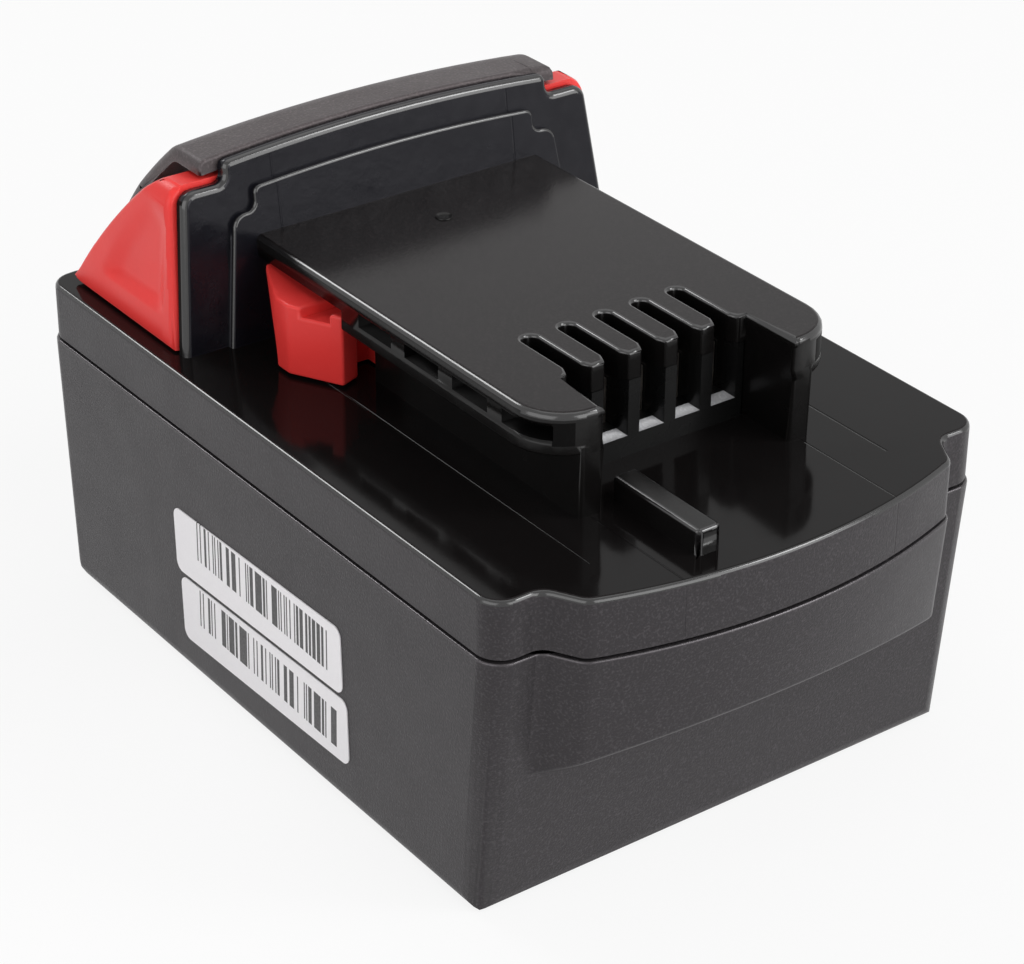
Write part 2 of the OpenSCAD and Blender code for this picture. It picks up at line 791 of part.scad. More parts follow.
// Back profile in side view, set out by o, closed below the deck, with a crest at height top
function back_profile(o, top, round) =
    let(r = back_r + o,
        base = deck_z - deck_t,
        low = asin((base - back_c.y) / r),
        rise = top - round - back_c.y,
        run = sqrt(pow(r - round, 2) - rise * rise),
        turn = atan2(rise, run))
    concat(
        [[hump_y, base]],
        arc(back_c, r, low, turn, 16),
        arc(back_c + [run, rise], round, turn, 90),
        [[hump_y, top]]);

// Crowned body from a side profile, turned about an axis far below the hump
module crowned(inset) {
    swing = asin((cover_w / 2 + over) / crown_r);
    profile = back_profile(cover_outer - inset, cover_top - inset, crest_r - inset);
    points = [for (p = profile) [p.y - crown_z, p.x]];
    translate([0, 0, crown_z]) rotate([-90, 0, 0]) rotate([0, 0, 270 - swing])
        rotate_extrude(angle = 2 * swing, $fn = 360) polygon(points);
}

// Half plane in front of the line at depth d behind the leaning front face
module front_half(d) {
    reach = 2 * hump_h;
    translate([hump_y, deck_z]) rotate(-lean) translate([d - reach, -reach])
        square([reach, 3 * reach]);
}

module rear_cover() {
    color(cover_brown) difference() {
        intersection() {
            union() {
                difference() {
                    crowned(0);
                    crowned(cover_t);
                }
                intersection() {
                    crowned(cover_t / 2);
                    at_cover_screws() bore(boss_d, deck_z, cover_top);
                }
            }
            along_z(deck_z, cover_top + over) intersection() {
                plan(step_in);
                square([cover_w, 2 * rear_y], center = true);
            }
        }
        along_x(-case_w, case_w) front_half(face_t + cover_gap);
        at_cover_screws() bore(screw_d + thread_play, deck_z - over, deck_z + cover_screw_l + blind_t);
    }
}

// Side view of a button, drawn in by i
module button_shape(i) {
    difference() {
        intersection() {
            polygon(back_profile(-i, button_top - i, max(button_r - i, bite)));
            translate([hump_y, button_z + i]) square([rear_y, button_h]);
        }
        front_half(face_back + i);
    }
}

// Front view of a button's outer end, drawn in by i
module button_end(i) {
    top = button_top - i;
    edge = max(button_edge - i, bite);
    shift = i / cos(button_lean);
    face_x = button_x - shift - (top - edge - button_z) * tan(button_lean);
    centre = [face_x - edge / cos(button_lean), top - edge];
    polygon(concat(
        [[stem_x - 2 * over, button_z - over], [button_x - shift + over * tan(button_lean), button_z - over]],
        arc(centre, edge, button_lean, 90),
        [[stem_x - 2 * over, top]]));
}

module button_body(i, x0) {
    intersection() {
        along_x(x0, button_x) button_shape(i);
        along_y(hump_y, rear_y) button_end(i);
    }
}

// Hook in plan: a ramp at the front, and a wing that narrows towards the hump
module hook_shape() {
    nose_x = tower_x - latch_gap;
    polygon([
        [arm_x0, wing_y], [arm_x0, hook_y + shank_set], [nose_x - nose_w, hook_y + shank_set],
        [nose_x - nose_w, hook_y + nose_set], [nose_x, hook_y], [hook_x, hook_y + hook_ramp],
        [hook_x, hook_y + hook_l], [wing_x, wing_y]]);
}

// Part of a hook from y0 to y1, outside x0, up to height z1
module hook_part(x0, y0, y1, z1) {
    along_z(latch_z, z1) intersection() {
        hook_shape();
        translate([x0, y0]) square([hook_x - x0, y1 - y0]);
    }
}

// Hook with its ear, its small tab and its wing, whose rear edge slopes back as it rises
module hook() {
    catch_y = hook_y + hook_l;
    catch_z = latch_z + catch_h;
    intersection() {
        union() {
            hook_part(arm_x0, hook_y, wing_y, latch_z + hook_h);
            hook_part(neck_x, hook_y + ear_set, wing_y, ledge_top);
            hook_part(wing_in, catch_y, wing_y, wing_top);
            hook_part(tower_x - tab_in, hook_y, hook_y + tab_l, ledge_top);
        }
        along_x(arm_x0, hook_x) polygon([
            [hook_y, latch_z], [catch_y, latch_z], [catch_y, catch_z],
            [wing_y, wing_top], [catch_y, ledge_top], [hook_y, ledge_top]]);
    }
}

// Thumb scoop: as wide as the button less a rim, deepest along its lower edge
module scoop() {
    low = button_z + scoop_low;
    run = button_h - scoop_low - scoop_rim;
    turn = asin(scoop_d / run) - button_lean;
    translate([button_x - scoop_low * tan(button_lean), 0, low]) rotate([0, turn, 0])
        along_x(-scoop_d, 2 * scoop_d) intersection() {
            translate([0, -low]) button_shape(scoop_rim);
            square([rear_y, button_h]);
        }
}

// The right latch: button, bridge, arm and hook are one moulding
module latch() {
    arm_z = latch_z + arm_h;
    bridge_end = bridge_y + bridge_l;
    difference() {
        union() {
            button_body(0, stem_x);
            hook();
            box([arm_x0, hook_y + nose_set, latch_z], [arm_x1, bridge_end, arm_z]);
            translate([arm_x0 - pin_l, spring_y, spring_z]) rotate([0, 90, 0])
                bore(spring_d - 2 * (spring_wire + pin_play), 0, pin_l + bite);
        }
        button_body(button_t, stem_x - over);
        scoop();
    }
    box([arm_x0, bridge_y, latch_z], [button_x - button_t, bridge_end, arm_z]);
}

module left_latch() {
    color(latch_red) mirror([1, 0, 0]) latch();
}

module right_latch() {
    color(latch_red) latch();
}

// Coil spring along X: rings of a six-sided wire along a helix
module latch_spring() {
    sides = 6;
    rings = spring_turns * 10;
    coil_r = (spring_d - spring_wire) / 2;
    start = spring_x0 + spring_wire / 2;
    run = spring_x1 - spring_x0 - spring_wire;
    points = [for (k = [0:rings]) let(a = 360 * spring_turns * k / rings)
        for (s = [0:sides - 1]) let(w = 360 * s / sides, rad = coil_r + spring_wire / 2 * cos(w))
            [start + run * k / rings + spring_wire / 2 * sin(w), rad * cos(a), rad * sin(a)]];
    skin = [for (k = [0:rings - 1]) for (s = [0:sides - 1])
        let(n = (s + 1) % sides, p = k * sides, q = p + sides)
            for (f = [[p + s, q + s, q + n], [p + s, q + n, p + n]]) f];
    last = rings * sides;
    caps = [for (s = [1:sides - 2]) for (f = [[0, s, s + 1], [last, last + s + 1, last + s]]) f];
    translate([0, spring_y, spring_z]) polyhedron(points, concat(skin, caps));
}

module left_latch_spring() {
    color("silver") mirror([1, 0, 0]) latch_spring();
}

module right_latch_spring() {
    color("silver") latch_spring();
}

// Block under the fingers, with a channel for each contact and a hole for its tail
module terminal_block() {
    front_x = horn_x - block_gap;
    hole_x = (tail_w + tail_play) / 2;
    color(deck_black) difference() {
        union() {
            box([-front_x, tip_y, board_top], [front_x, tip_y + block_front + over, block_top]);
            box([-block_x, tip_y + block_front, board_top], [block_x, block_y1, block_top]);
        }
        for (x = slot_x) translate([x, 0, 0]) {
            box([-channel_w / 2, tip_y - over, ledge_z], [channel_w / 2, tip_y + slot_l, plate_z]);
            along_z(ledge_z, plate_z) slot_mouth(channel_w / 2);
            box([-hole_x, tail_y - tail_play / 2, board_top - over],
                [hole_x, tail_y + tail_l + tail_play / 2, ledge_z + over]);
            intersection() {
                along_z(deck_z, ledge_z + over) slot_mouth(channel_w / 2);
                along_x(-slot_pitch, slot_pitch) polygon([
                    [tip_y - over, ledge_z - slope_h * (1 + over / slope_l)],
                    [tip_y + slope_l, ledge_z], [tip_y - over, ledge_z + over / 2]]);
            }
        }
    }
}

// Forked contact: two leaves on a web, with a tail down to the board
module contact_clip(s) {
    out = channel_w / 2 - clip_play;
    top = plate_z - clip_room;
    color("gold") translate([slot_x[s], 0, 0]) difference() {
        union() {
            box([-out, clip_y0, ledge_z], [out, clip_y1, top]);
            box([-tail_w / 2, tail_y, board_top], [tail_w / 2, tail_y + tail_l, ledge_z + leaf_t]);
        }
        box([leaf_t - out, clip_y0 - over, ledge_z + leaf_t], [out - leaf_t, clip_y1 + over, plate_z]);
    }
}

module at_board_screws() {
    for (y = board_screw_y) translate([board_screw_x, y, 0]) children();
}

module circuit_board() {
    color("darkgreen") difference() {
        box([-board_x, board_y0, board_z], [board_x, board_y1, board_top]);
        both_sides() at_board_screws() bore(board_screw_d + clear_play, board_z - over, board_top + over);
    }
}

module on_board(x, y, size) {
    translate([x, y, board_top]) cube(size);
}

module power_transistors() {
    color("dimgray") both_sides() on_board(transistor_gap / 2, parts_y, transistor_size);
}

module control_chip() {
    color("black") on_board(-chip_size.x / 2, parts_y + transistor_size.y + parts_gap, chip_size);
}

module current_shunt() {
    x = -chip_size.x / 2 - parts_gap - shunt_size.x;
    color("slategray") on_board(x, parts_y + transistor_size.y + parts_gap, shunt_size);
}

// Bead in the valley between two cells of the upper row, on two legs from the board
module thermistor() {
    reach = cell_r + bead_d / 2 + bead_gap;
    y = (column_y[1] + column_y[2]) / 2;
    z = row_z[rows - 1] + sqrt(pow(reach, 2) - pow(pitch_y / 2, 2));
    color("black") translate([0, y, 0]) {
        translate([0, 0, z]) sphere(d = bead_d, $fn = 32);
        both_sides() translate([leg_pitch / 2, 0, 0]) bore(leg_d, z, board_z);
    }
}

// One cell along X: a can with bevelled edges and a raised cap at its positive end
module cell(k) {
    column = k % columns;
    row = floor(k / columns);
    half = cell_l / 2;
    rim = half - cap_h;
    turn = column % 2 == 0 ? 90 : -90;
    color("teal") translate([0, column_y[column], row_z[row]]) rotate([0, turn, 0])
        rotate_extrude($fn = 64) polygon([
            [0, -half], [cell_r - can_bevel, -half], [cell_r, can_bevel - half],
            [cell_r, rim - can_bevel], [cell_r - can_bevel, rim],
            [cap_d / 2, rim], [cap_d / 2, half], [0, half]]);
}

// Side view of a holder: a frame round all the cells
module holder_shape() {
    y0 = column_y[0];
    y1 = column_y[columns - 1];
    z0 = row_z[0];
    z1 = row_z[rows - 1];
    difference() {
        union() {
            translate([y0, z0 - rim_r]) square([y1 - y0, z1 - z0 + 2 * rim_r]);
            translate([y0 - rim_r, z0]) square([y1 - y0 + 2 * rim_r, z1 - z0]);
            for (y = [y0, y1]) for (z = [z0, z1]) translate([y, z]) circle(r = rim_r, $fn = 64);
        }
        for (y = column_y) for (z = row_z) translate([y, z]) circle(r = cell_r + cell_fit, $fn = 64);
    }
}

module cell_holder() {
    difference() {
        union() {
            along_x(holder_x - holder_l, holder_x) holder_shape();
            at_board_screws() bore(stand_d, holder_top - holder_rim, board_z);
        }
        at_board_screws()
            bore(board_screw_d + thread_play, holder_top - board_screw_l - over / 2, board_z + over);
    }
}

module left_cell_holder() {
    color("whitesmoke") mirror([1, 0, 0]) cell_holder();
}

module right_cell_holder() {
    color("whitesmoke") cell_holder();
}

// Tab of a strip, from height z up its edge and folded onto the board
module board_tab(tab_y, z) {
    end = strip_x + strip_t;
    box([strip_x, tab_y, z], [end, tab_y + strip_tab, board_top + strip_t]);
    box([board_x - strip_fold, tab_y, board_top], [end, tab_y + strip_tab, board_top + strip_t]);
}

// Strip welded over the cell ends of the columns first to last
module strip(first, last, tab_y) {
    y0 = column_y[first] - strip_w / 2;
    y1 = column_y[last] + strip_w / 2;
    color("lightgray") {
        box([strip_x, y0, strip_z0], [strip_x + strip_t, y1, strip_z1]);
        board_tab(tab_y, strip_z1 - bite);
    }
}

module negative_strip() {
    mirror([1, 0, 0]) strip(0, 0, board_y0 + tab_set);
}

module link_strip_1() {
    strip(0, 1, column_y[1] - strip_tab);
}

module link_strip_2() {
    mirror([1, 0, 0]) strip(1, 2, column_y[1]);
}

module link_strip_3() {
    strip(2, 3, column_y[2]);
}

module link_strip_4() {
    mirror([1, 0, 0]) strip(3, 4, board_y1 - strip_tab - tab_set);
}

// The last column's strip reaches forward to the board above the strip beside it
module positive_strip() {
    last = column_y[columns - 1];
    tab_y = board_y1 - strip_tab - tab_set;
    arm_z = strip_z1 + arm_gap;
    end = strip_x + strip_t;
    color("lightgray") {
        box([strip_x, last - strip_w / 2, strip_z0], [end, last + strip_w / 2, arm_z + arm_w]);
        box([strip_x, tab_y, arm_z], [end, last, arm_z + arm_w]);
        board_tab(tab_y, arm_z);
    }
}

// Insulating sheet over the strips of one side
module insulator() {
    x0 = strip_x + strip_t + sheet_gap;
    grow = strip_w / 2 + sheet_margin;
    box([x0, column_y[0] - grow, strip_z0 - sheet_margin],
        [x0 + sheet_t, column_y[columns - 1] + grow, strip_z1 + sheet_margin]);
}

module left_insulator() {
    color("tan") mirror([1, 0, 0]) insulator();
}

module right_insulator() {
    color("tan") insulator();
}

// Screw standing on its head, with a hexagon socket
module screw(length) {
    difference() {
        union() {
            bore(head_d, 0, head_h);
            bore(screw_d, 0, head_h + length);
        }
        translate([0, 0, -over]) cylinder(r = socket_r, h = over + socket_l, $fn = 6);
    }
}

module case_screws() {
    screw_end = deck_z - blind_t - clear_play;
    color("gray") at_bosses() translate([0, 0, head_sink]) screw(screw_end - head_seat);
}

module cover_screws() {
    color("gray") at_cover_screws() translate([0, 0, under_z - head_h]) screw(deck_t + cover_screw_l);
}

module board_screws() {
    color("gray") both_sides() at_board_screws() {
        bore(board_head_d, board_top, board_top + board_head_h);
        bore(board_screw_d, holder_top - board_screw_l, board_top + bite);
    }
}

// Plain sticker on the left wall, set a little askew
module label(y, z) {
    out_y = label_l / 2 - label_r;
    out_z = label_h / 2 - label_r;
    color("white") along_x(-case_w / 2 - label_t, -case_w / 2) translate([y, z]) rotate(label_tilt) {
        square([2 * out_y, label_h], center = true);
        square([label_l, 2 * out_z], center = true);
        for (sy = [-1, 1]) for (sz = [-1, 1])
            translate([sy * out_y, sz * out_z]) circle(r = label_r, $fn = 32);
    }
}

module upper_label() {
    label(upper_label_y, label_z + (label_gap + label_h) / 2);
}

module lower_label() {
    label(lower_label_y, label_z - (label_gap + label_h) / 2);
}

lower_case();
upper_case();
rear_cover();
left_latch();
right_latch();
left_latch_spring();
right_latch_spring();
terminal_block();
for (s = [0:slots - 1]) contact_clip(s);
circuit_board();
power_transistors();
control_chip();
current_shunt();
thermistor();
for (k = [0:columns * rows - 1]) cell(k);
left_cell_holder();
right_cell_holder();
negative_strip();
link_strip_1();
link_strip_2();
link_strip_3();
link_strip_4();
positive_strip();
left_insulator();
right_insulator();
case_screws();
cover_screws();
board_screws();
upper_label();
lower_label();
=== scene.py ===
import bpy
import bmesh
import math
from mathutils import Matrix, Vector


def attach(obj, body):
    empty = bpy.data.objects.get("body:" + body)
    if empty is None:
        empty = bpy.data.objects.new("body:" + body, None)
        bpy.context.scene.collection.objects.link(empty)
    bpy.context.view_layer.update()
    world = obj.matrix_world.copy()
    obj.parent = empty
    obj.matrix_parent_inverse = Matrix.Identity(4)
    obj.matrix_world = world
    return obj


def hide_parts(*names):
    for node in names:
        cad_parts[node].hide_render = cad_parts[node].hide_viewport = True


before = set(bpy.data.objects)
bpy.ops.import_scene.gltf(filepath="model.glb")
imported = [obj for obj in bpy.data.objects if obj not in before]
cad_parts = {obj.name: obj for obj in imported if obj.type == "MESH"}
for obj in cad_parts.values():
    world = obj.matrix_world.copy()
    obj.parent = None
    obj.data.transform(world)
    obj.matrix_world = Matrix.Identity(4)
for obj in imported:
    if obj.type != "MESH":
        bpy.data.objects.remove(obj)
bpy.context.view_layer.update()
mm = 0.001
scene = bpy.context.scene

print("stage: camera")
cameraView = {
    "azimuth": -36.292,     # degrees round from the contact end
    "elevation": 29.694,
    "roll": 0.396,
    "lens": 106.8,          # mm, as are the lengths below
    "sensor": 36,
    "nearest": 10,
    "distance": 423.496,
    "slide": 2.193,
    "lift": -18.583,
    "aim": (0, 4.5, 48.5),
}


def placeCamera(view):
    a, e, r = (math.radians(view[k]) for k in ("azimuth", "elevation", "roll"))
    back = Vector((math.sin(a) * math.cos(e), -math.cos(a) * math.cos(e), math.sin(e)))
    side = (-back).cross(Vector((0, 0, 1))).normalized()
    up = side.cross(-back)
    side, up = side * math.cos(r) + up * math.sin(r), up * math.cos(r) - side * math.sin(r)
    spot = Vector(view["aim"]) + back * view["distance"] + side * view["slide"] + up * view["lift"]
    data = bpy.data.cameras.new("photoCamera")
    data.sensor_fit = "HORIZONTAL"
    data.sensor_width = view["sensor"]
    data.lens = view["lens"]
    data.clip_start = view["nearest"] * mm
    camera = bpy.data.objects.new("photoCamera", data)
    scene.collection.objects.link(camera)
    turn = Matrix((side, up, back)).transposed().to_4x4()
    camera.matrix_world = Matrix.Translation(spot * mm) @ turn
    scene.camera = camera


placeCamera(cameraView)

weldGap = 2e-6          # metres
flatAngle = 0.6         # degrees; faces that bend less are joined
sharpAngle = 25         # degrees; edges that bend less are not rounded


# small helpers for working in edit mode
def nothingSelected():
    if bpy.context.object and bpy.context.object.mode != "OBJECT":
        bpy.ops.object.mode_set(mode="OBJECT")
    bpy.ops.object.select_all(action="DESELECT")


def pick(piece):
    nothingSelected()
    piece.select_set(True)
    bpy.context.view_layer.objects.active = piece


def edit(piece, kind="FACE"):
    pick(piece)
    bpy.ops.object.mode_set(mode="EDIT")
    bpy.ops.mesh.select_mode(type=kind)
    bpy.ops.mesh.select_all(action="DESELECT")


def doneEditing():
    bpy.ops.object.mode_set(mode="OBJECT")


def copyOfNode(node, name):
    nothingSelected()
    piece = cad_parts[node].copy()
    piece.data = piece.data.copy()
    piece.name = name
    piece.data.name = name
    for key in list(piece.keys()):
        del piece[key]
    piece.parent = None
    piece.data.materials.clear()
    scene.collection.objects.link(piece)
    edit(piece)
    bpy.ops.mesh.select_all(action="SELECT")
    bpy.ops.mesh.remove_doubles(threshold=weldGap)
    bpy.ops.mesh.dissolve_limited(angle_limit=math.radians(flatAngle))
    doneEditing()
    return piece


# rounds the outer edges that pass the test, which gets the edge's middle (mm), its two normals and its run
def roundEdges(piece, radius, test, steps=3):
    edit(piece, "EDGE")
    mesh = bmesh.from_edit_mesh(piece.data)
    for edge in mesh.edges:
        if len(edge.link_faces) != 2 or math.degrees(edge.calc_face_angle_signed(0)) < sharpAngle:
            continue
        first, last = (vert.co / mm for vert in edge.verts)
        normals = [face.normal for face in edge.link_faces]
        if test((first + last) / 2, normals, (last - first).normalized()):
            edge.select_set(True)
    bmesh.update_edit_mesh(piece.data)
    bpy.ops.mesh.bevel(offset=radius * mm, segments=steps, profile=0.5, affect="EDGES", clamp_overlap=False)
    doneEditing()


def chooseFaces(piece, test):
    edit(piece)
    mesh = bmesh.from_edit_mesh(piece.data)
    for face in mesh.faces:
        face.select_set(test(face.calc_center_median() / mm, face.normal))
    bmesh.update_edit_mesh(piece.data)


# cuts all faces along a level plane, so that a later rounding has a clean strip to work in
def cutLevel(piece, height):
    edit(piece)
    bpy.ops.mesh.select_all(action="SELECT")
    bpy.ops.mesh.bisect(plane_co=(0, 0, height * mm), plane_no=(0, 0, 1))
    doneEditing()


def smoothed(piece, angle=40):
    pick(piece)
    bpy.ops.object.shade_smooth_by_angle(angle=math.radians(angle))
    even = piece.modifiers.new("evenShading", "WEIGHTED_NORMAL")
    even.keep_sharp = True
    bpy.ops.object.modifier_apply(modifier=even.name)


# the first finish is all over; each later pair takes the faces that pass its test (centre in mm, normal)
def paint(piece, finish, *others):
    piece.data.materials.append(finish)
    for number, (other, test) in enumerate(others, 1):
        piece.data.materials.append(other)
        for face in piece.data.polygons:
            if test(face.center / mm, face.normal):
                face.material_index = number


print("stage: finishes")


def noise(tree, place, size, detail=2.0, rough=0.5):
    node = tree.nodes.new("ShaderNodeTexNoise")
    node.inputs["Scale"].default_value = 1 / (size * mm)
    node.inputs["Detail"].default_value = detail
    node.inputs["Roughness"].default_value = rough
    tree.links.new(place, node.inputs["Vector"])
    return node.outputs["Fac"]


def spread(tree, value, low, high, start=0.3, end=0.7):
    node = tree.nodes.new("ShaderNodeMapRange")
    for socket, amount in zip(("From Min", "From Max", "To Min", "To Max"), (start, end, low, high)):
        node.inputs[socket].default_value = amount
    tree.links.new(value, node.inputs["Value"])
    return node.outputs["Result"]


def sums(tree, kind, first, second):
    node = tree.nodes.new("ShaderNodeMath")
    node.operation = kind
    for socket, value in zip(node.inputs, (first, second)):
        if isinstance(value, (int, float)):
            socket.default_value = value
        else:
            tree.links.new(value, socket)
    return node.outputs["Value"]


def blendColours(tree, amount, first, second):
    node = tree.nodes.new("ShaderNodeMix")
    node.data_type = "RGBA"
    tree.links.new(amount, node.inputs["Factor"])
    for socket, value in ((node.inputs["A"], first), (node.inputs["B"], second)):
        if isinstance(value, tuple):
            socket.default_value = (*value, 1)
        else:
            tree.links.new(value, socket)
    return node.outputs["Result"]


def lighter(colour, amount):
    return tuple(min(1, c * amount) for c in colour)


# rubbed wear and painted highlight along the edges: 1 on an edge, 0 on a flat
def edgeWearAndSheen(tree, width):
    facing = tree.nodes.new("ShaderNodeNewGeometry")
    worn = tree.nodes.new("ShaderNodeBevel")
    worn.samples = 4
    worn.inputs["Radius"].default_value = width * mm
    same = tree.nodes.new("ShaderNodeVectorMath")
    same.operation = "DOT_PRODUCT"
    tree.links.new(facing.outputs["Normal"], same.inputs[0])
    tree.links.new(worn.outputs["Normal"], same.inputs[1])
    return spread(tree, same.outputs["Value"], 1, 0, 0.9, 0.995)


lineShares = (0.3, 0.6)     # a line fades out between these shares of its width


# thin moulded lines: each mark is (axis, place, width, other axis, from, to), all in mm
def fineLines(tree, place, marks):
    split = tree.nodes.new("ShaderNodeSeparateXYZ")
    tree.links.new(place, split.inputs["Vector"])
    total = None
    for across, spot, width, along, start, end in marks:
        away = split.outputs[across]
        if across == "X":
            away = sums(tree, "ABSOLUTE", away, 0)          # both sides alike
        away = sums(tree, "ABSOLUTE", sums(tree, "SUBTRACT", away, spot * mm), 0)
        line = spread(tree, away, 1, 0, *(width * mm * share for share in lineShares))
        run = sums(tree, "SUBTRACT", split.outputs[along], (start + end) / 2 * mm)
        run = sums(tree, "ABSOLUTE", run, 0)
        line = sums(tree, "MULTIPLY", line, sums(tree, "LESS_THAN", run, (end - start) / 2 * mm))
        total = line if total is None else sums(tree, "MAXIMUM", total, line)
    return total


# a new material with its tree, its shader and the object's own coordinates
def newFinish(name):
    finish = bpy.data.materials.new(name)
    finish.use_nodes = True
    tree = finish.node_tree
    place = tree.nodes.new("ShaderNodeTexCoord").outputs["Object"]
    return finish, tree, tree.nodes["Principled BSDF"], place


def addBump(tree, shader, height, distance):
    bump = tree.nodes.new("ShaderNodeBump")
    bump.inputs["Distance"].default_value = distance
    bump.inputs["Strength"].default_value = 1
    tree.links.new(height, bump.inputs["Height"])
    tree.links.new(bump.outputs["Normal"], shader.inputs["Normal"])


# what a look leaves unsaid, with sizes in mm
plainPlastic = {
    "cloud": 22, "cloudTones": (0.93, 1.07), "smear": 6, "shine": 0.5, "tint": (1, 1, 1), "marks": (),
    "speck": 0.3, "speckTone": 2.2, "speckSize": 1.3,
    # the rub entries lighten the edges: partly rubbed wear, partly a painted highlight
    "rubAndSheen": 0, "rubSheenWidth": 0.5, "rubSheenPatch": 4, "rubSheenTone": 4, "polish": 0.3,
}
plainMetal = {"stain": 5, "streak": 1.2, "grain": 0.3, "height": 0.006}


# moulded plastic: clouded colour, uneven gloss, moulded grain, fine mould lines and paler edges, partly rubbed
# wear and partly painted highlight
def mouldedPlastic(name, look):
    look = {**plainPlastic, **look}
    finish, tree, shader, place = newFinish(name)
    colour = look["colour"]
    dark, pale = (lighter(colour, tone) for tone in look["cloudTones"])
    toned = blendColours(tree, noise(tree, place, look["cloud"], 3), dark, pale)
    speck = noise(tree, place, look["grain"] * look["speckSize"], 1)
    speck = spread(tree, speck, 0, look["speck"], 0.5, 0.75)
    toned = blendColours(tree, speck, toned, lighter(colour, look["speckTone"]))
    gloss = spread(tree, noise(tree, place, look["smear"], 4), *look["rough"])
    if look["rubAndSheen"]:
        # paler colour along the edges is partly rubbed wear and partly a painted highlight; the lower roughness
        # there stands for polish
        edges = edgeWearAndSheen(tree, look["rubSheenWidth"])
        patchy = spread(tree, noise(tree, place, look["rubSheenPatch"], 2), 0.2, 1)
        rubbedAndSheen = sums(tree, "MULTIPLY", sums(tree, "MULTIPLY", edges, patchy), look["rubAndSheen"])
        toned = blendColours(tree, rubbedAndSheen, toned, look.get("rubSheenColour", lighter(colour, look["rubSheenTone"])))
        gloss = sums(tree, "MULTIPLY", gloss, spread(tree, edges, 1, look["polish"], 0, 1))
    tree.links.new(toned, shader.inputs["Base Color"])
    tree.links.new(gloss, shader.inputs["Roughness"])
    shader.inputs["Specular IOR Level"].default_value = look["shine"]
    shader.inputs["Specular Tint"].default_value = (*look["tint"], 1)
    height = sums(tree, "MULTIPLY", noise(tree, place, look["grain"], 2, 0.6), look["height"] * mm)
    if look["marks"]:
        lines = fineLines(tree, place, look["marks"])
        height = sums(tree, "SUBTRACT", height, sums(tree, "MULTIPLY", lines, look["markDepth"] * mm))
    addBump(tree, shader, height, 1)
    return finish


# drawn or plated metal: streaked gloss and a little tarnish
def brightMetal(name, look):
    look = {**plainMetal, **look}
    finish, tree, shader, place = newFinish(name)
    shader.inputs["Metallic"].default_value = 1
    stain = spread(tree, noise(tree, place, look["stain"], 4), 0, 1, 0.4, 0.75)
    tree.links.new(blendColours(tree, stain, look["colour"], look["tarnish"]), shader.inputs["Base Color"])
    gloss = spread(tree, noise(tree, place, look["streak"], 3), *look["rough"])
    tree.links.new(gloss, shader.inputs["Roughness"])
    addBump(tree, shader, noise(tree, place, look["grain"], 2), look["height"] * mm)
    return finish


wallLook = {
    "colour": (0.0215, 0.0198, 0.0212), "rough": (0.34, 0.4), "grain": 0.26, "height": 0.06,
    "speck": 0.85, "speckTone": 2.3, "rubAndSheen": 0.4, "shine": 0.3, "tint": (1, 0.93, 0.98),
}
skirtLook = {**wallLook, "markDepth": 0.08, "marks": [("X", 17.4, 0.25, "Z", 40.4, 48.3)]}
lipLook = {**wallLook, "rough": (0.18, 0.24), "height": 0.03, "rubAndSheen": 0, "shine": 0.65}
rimLook = {
    "colour": (0.007, 0.0064, 0.0066), "rough": (0.14, 0.2), "grain": 0.6, "height": 0.005,
    "speck": 0.05, "shine": 0.75,
}
deckLook = {
    "colour": (0.006, 0.0052, 0.0052), "rough": (0.08, 0.12), "grain": 2.5, "height": 0.003,
    "speck": 0.05, "rubAndSheen": 0.3, "shine": 0.1, "markDepth": 0.06,
    "marks": [("X", 24.6, 0.3, "Y", -49, 24), ("X", 17.4, 0.25, "Y", -62, -40)],
}
deckSideLook = {
    "colour": (0.005, 0.0042, 0.0043), "rough": (0.28, 0.34), "grain": 0.3, "height": 0.03,
    "speck": 0.8, "speckTone": 3, "rubAndSheen": 0.4, "shine": 0.1, "tint": (1, 0.9, 0.93),
}
towerLook = {
    "colour": (0.0055, 0.0046, 0.0047), "rough": (0.13, 0.17), "grain": 0.3, "height": 0.015,
    "speck": 0.8, "speckTone": 3.4, "rubAndSheen": 0.35, "shine": 0.17, "tint": (1, 0.9, 0.92),
}
railLook = {
    "colour": (0.004, 0.0036, 0.0035), "rough": (0.2, 0.28), "grain": 0.6, "height": 0.012,
    "speck": 0.1, "rubAndSheen": 0.35, "shine": 0.24,
}
# dark finish that paints shade into the rail pockets and onto the flange's side faces beside the buttons
shadePaintedLook = {
    "colour": (0.0022, 0.002, 0.002), "rough": (0.5, 0.6), "grain": 0.4, "height": 0.02,
    "speck": 0.2, "shine": 0.08,
}
humpLook = {
    "colour": (0.006, 0.006, 0.0085), "rough": (0.16, 0.28), "grain": 1.8, "height": 0.03,
    "speck": 0.05, "smear": 3, "rubAndSheen": 0.35, "shine": 0.24, "tint": (0.96, 0.95, 1),
    "markDepth": 0.06, "marks": [("X", 20, 0.3, "Z", 62, 74)],
}
coverLook = {
    "colour": (0.048, 0.04, 0.041), "rough": (0.42, 0.5), "grain": 0.3, "height": 0.05,
    "speck": 0.7, "rubAndSheen": 0.4, "shine": 0.4, "tint": (1, 0.92, 0.94),
}
# the latch's paler red along its edges is partly rubbed wear and partly a painted highlight
latchLook = {
    "colour": (0.8, 0.042, 0.038), "rough": (0.3, 0.38), "grain": 0.7, "height": 0.01,
    "speck": 0.05, "rubAndSheen": 0.35, "rubSheenColour": (0.9, 0.14, 0.12), "shine": 0.28,
}
blockLook = {
    "colour": (0.005, 0.005, 0.005), "rough": (0.22, 0.3), "grain": 0.7, "height": 0.008,
    "speck": 0.05, "shine": 0.4,
}
ledgeLook = {"colour": (0.3, 0.3, 0.31), "rough": (0.3, 0.45), "grain": 0.3, "height": 0.03, "speck": 0.3}

